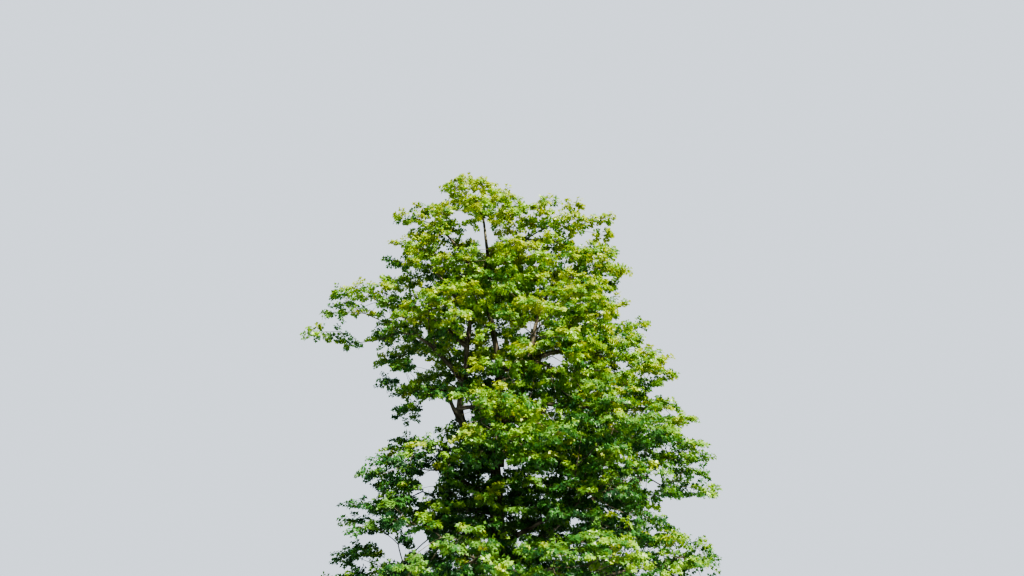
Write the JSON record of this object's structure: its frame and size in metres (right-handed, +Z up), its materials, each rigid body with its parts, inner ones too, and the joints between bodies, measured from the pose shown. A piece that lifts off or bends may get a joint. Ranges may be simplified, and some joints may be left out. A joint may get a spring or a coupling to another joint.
{
  "type": "maple tree",
  "caption": "Broad maple in full summer leaf on one stem, with forked leaders, long side boughs and separate masses of foliage, rooted at a flat cut at ground level.",
  "frame": {"origin": "middle of the flat cut under the trunk, at ground level", "axes": "+Z up the stem, +X to the side with the broad low shoulder, -X to the side with the long low tip, -Y to the front"},
  "size_m": [14.3, 12.25, 18.475],
  "materials": {
    "bark": "rough grey-brown bark",
    "leaves_sunlit": "soft yellow-green summer leaves",
    "leaves_green": "soft fresh green summer leaves",
    "leaves_shaded": "deep green shaded leaves"
  },
  "bodies": {
    "root": {"trunk": "bark", "leader_centre": "bark", "leader_left": "bark", "leader_right": "bark", "bough_top_right": "bark", "bough_upper_left": "bark", "bough_high_left": "bark", "bough_far_left": "bark", "bough_left_arm": "bark", "bough_cross_right": "bark", "bough_shoulder": "bark", "bough_right_low": "bark", "bough_right_base": "bark", "bough_left_shelf": "bark", "bough_left_low": "bark", "bough_left_base": "bark", "bough_front_high": "bark", "bough_front_mid": "bark", "bough_front_low": "bark", "bough_front_base": "bark", "bough_front_left": "bark", "bough_back_high": "bark", "bough_back_mid": "bark", "bough_back_low": "bark", "bough_back_base": "bark", "foliage_top_cap": "leaves_sunlit", "foliage_top_left": "leaves_sunlit", "foliage_top_right": "leaves_sunlit", "foliage_upper_left": "leaves_green", "foliage_upper_front": "leaves_sunlit", "foliage_upper_right": "leaves_green", "foliage_upper_back": "leaves_green", "foliage_high_left": "leaves_green", "foliage_high_front_left": "leaves_sunlit", "foliage_high_front_right": "leaves_sunlit", "foliage_high_right": "leaves_green", "foliage_high_back_left": "leaves_green", "foliage_high_back_right": "leaves_green", "foliage_far_left": "leaves_green", "foliage_mid_right": "leaves_sunlit", "foliage_mid_front": "leaves_sunlit", "foliage_left_hang": "leaves_shaded", "foliage_mid_back_left": "leaves_shaded", "foliage_mid_back_right": "leaves_green", "foliage_core_right": "leaves_shaded", "foliage_right_shoulder": "leaves_green", "foliage_front_bright": "leaves_sunlit", "foliage_front_right": "leaves_green", "foliage_left_shelf": "leaves_shaded", "foliage_right_low": "leaves_green", "foliage_front_low_right": "leaves_shaded", "foliage_left_low": "leaves_shaded", "foliage_back_low_left": "leaves_shaded", "foliage_back_low_right": "leaves_shaded", "foliage_skirt_left": "leaves_shaded", "foliage_skirt_front_left": "leaves_green", "foliage_skirt_front_right": "leaves_sunlit", "foliage_skirt_right": "leaves_green", "foliage_skirt_back_left": "leaves_shaded", "foliage_skirt_back_right": "leaves_shaded"}
  },
  "joints": []
}
